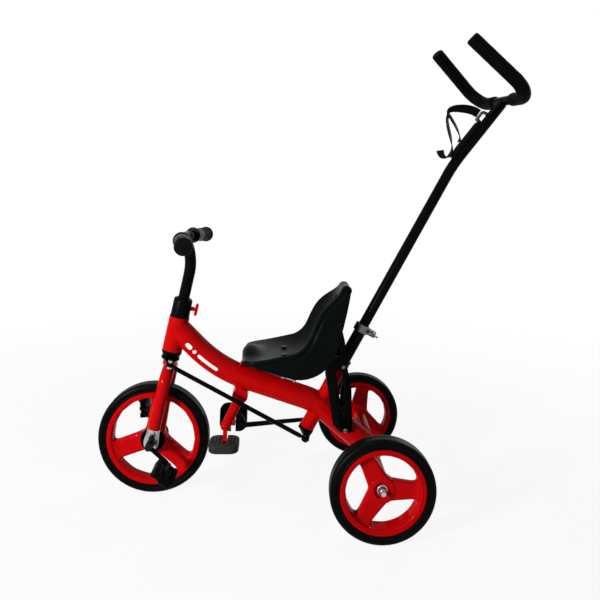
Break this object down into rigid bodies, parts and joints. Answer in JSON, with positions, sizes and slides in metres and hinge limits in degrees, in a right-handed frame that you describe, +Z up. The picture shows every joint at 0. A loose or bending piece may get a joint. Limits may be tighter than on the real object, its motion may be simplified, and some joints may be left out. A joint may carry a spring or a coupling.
{
  "type": "toddler push along trike",
  "caption": "Toddler trike with a pedalled front wheel, bucket seat, folding footrests and a telescopic push pole that steers the fork through a side rod",
  "frame": {"origin": "on the ground below the middle of the overall length, in the plane between the rear wheels", "axes": "+X forward, +Y to the rider's left, +Z up"},
  "size_m": [0.948, 0.474, 1.0531],
  "materials": {
    "red_paint": "gloss enamel",
    "red_plastic": "moulded, satin gloss",
    "black_paint": "satin powder coat",
    "black_plastic": "moulded, fine grain",
    "grey_plastic": "moulded, matt",
    "bright_steel": "zinc plated",
    "tyre_rubber": "matt foam rubber",
    "grip_rubber": "matt",
    "foam": "open-cell foam skin",
    "webbing": "plain weave"
  },
  "bodies": {
    "frame": {"main_tube": "red_paint", "tail_cap": "black_plastic", "head_tube": "red_paint", "pole_tube": "red_paint", "axle_beam": "red_paint", "rear_axle": "bright_steel", "axle_nuts": "bright_steel", "beam_bushes": "black_plastic", "upper_head_bearing": "black_plastic", "lower_head_bearing": "black_plastic", "pole_bushes": "black_plastic", "seat_bracket": "red_paint", "seat_posts": "bright_steel", "seat": "black_plastic", "seat_bolts": "bright_steel", "seat_plates": "black_paint", "plate_spacers": "black_paint", "plate_bolts": "bright_steel", "footrest_lug": "red_paint", "left_peg_tube": "red_paint", "right_peg_tube": "red_paint", "footrest_stay": "black_paint", "pad_pins": "bright_steel"},
    "fork": {"fork_crown": "red_paint", "fork_legs": "red_paint", "dropouts": "bright_steel", "rod_arm": "black_paint", "front_rod_pin": "bright_steel", "stem_collar": "black_plastic"},
    "handlebar": {"handlebar": "black_paint", "left_grip": "grip_rubber", "right_grip": "grip_rubber"},
    "wing_screw": {"wing_screw": "red_plastic"},
    "front_wheel": {"front_tyre": "tyre_rubber", "front_rim": "red_plastic", "front_hub_caps": "black_plastic", "crank_axle": "bright_steel", "left_crank": "black_paint", "right_crank": "black_paint"},
    "left_pedal": {"left_pedal": "black_plastic"},
    "right_pedal": {"right_pedal": "black_plastic"},
    "left_wheel": {"left_tyre": "tyre_rubber", "left_rim": "red_plastic"},
    "right_wheel": {"right_tyre": "tyre_rubber", "right_rim": "red_plastic"},
    "steering_rod": {"steering_rod": "black_paint"},
    "pole": {"lower_pole": "black_paint", "crank_plate": "black_paint", "pole_clamp": "bright_steel"},
    "clamp_wing": {"clamp_wing": "bright_steel"},
    "push_pole": {"upper_pole": "black_paint", "push_handle": "black_paint", "foam_sleeves": "foam", "strap_ring": "bright_steel", "strap_pad": "webbing", "strap": "webbing", "strap_tail": "webbing"},
    "left_foot_pad": {"left_foot_pad": "grey_plastic"},
    "right_foot_pad": {"right_foot_pad": "grey_plastic"}
  },
  "joints": [
    {"name": "steering", "type": "hinge", "parent": "frame", "child": "fork", "pos_m": [0.35144, 0, 0.12783], "axis": [-0.2079, 0, 0.9781], "range_deg": [-18, 18]},
    {"name": "handlebar_height", "type": "slide", "parent": "fork", "child": "handlebar", "axis": [-0.2079, 0, 0.9781], "range_m": [-0.045, 0.035]},
    {"name": "wing_screw_turn", "type": "hinge", "parent": "fork", "child": "wing_screw", "pos_m": [0.28707, 0, 0.43067], "axis": [-0.9781, 0, -0.2079], "continuous": true},
    {"name": "front_wheel_spin", "type": "hinge", "parent": "fork", "child": "front_wheel", "pos_m": [0.34753, 0, 0.127], "axis": [0, 1, 0], "continuous": true},
    {"name": "left_pedal_spin", "type": "hinge", "parent": "front_wheel", "child": "left_pedal", "pos_m": [0.30443, 0, 0.08819], "axis": [0, 1, 0], "continuous": true},
    {"name": "right_pedal_spin", "type": "hinge", "parent": "front_wheel", "child": "right_pedal", "pos_m": [0.39063, 0, 0.16581], "axis": [0, 1, 0], "continuous": true},
    {"name": "left_wheel_spin", "type": "hinge", "parent": "frame", "child": "left_wheel", "pos_m": [-0.15047, 0.21, 0.107], "axis": [0, 1, 0], "continuous": true},
    {"name": "right_wheel_spin", "type": "hinge", "parent": "frame", "child": "right_wheel", "pos_m": [-0.15047, -0.21, 0.107], "axis": [0, 1, 0], "continuous": true},
    {"name": "pole_turn", "type": "hinge", "parent": "frame", "child": "pole", "pos_m": [-0.03441, 0, 0.20438], "axis": [-0.4695, 0, 0.8829], "range_deg": [-18, 18]},
    {"name": "rod_pivot", "type": "hinge", "parent": "fork", "child": "steering_rod", "pos_m": [0.30544, 0.045, 0.30576], "axis": [-0.214, 0.0344, 0.9762], "range_deg": [-19, 19]},
    {"name": "clamp_wing_turn", "type": "hinge", "parent": "pole", "child": "clamp_wing", "pos_m": [-0.15538, 0, 0.37224], "axis": [0, 1, 0], "continuous": true},
    {"name": "pole_length", "type": "slide", "parent": "pole", "child": "push_pole", "axis": [-0.4695, 0, 0.8829], "range_m": [-0.14, 0.05]},
    {"name": "left_foot_pad_fold", "type": "hinge", "parent": "frame", "child": "left_foot_pad", "pos_m": [0.1795, 0.056, 0.13827], "axis": [1, 0, 0], "range_deg": [0, 75]},
    {"name": "right_foot_pad_fold", "type": "hinge", "parent": "frame", "child": "right_foot_pad", "pos_m": [0.1695, -0.056, 0.13827], "axis": [1, 0, 0], "range_deg": [0, 75]}
  ],
  "couplings": [
    {"joint": "pole_turn", "follows": "steering", "ratio": 0.9584},
    {"joint": "rod_pivot", "follows": "steering", "ratio": -1.022}
  ]
}
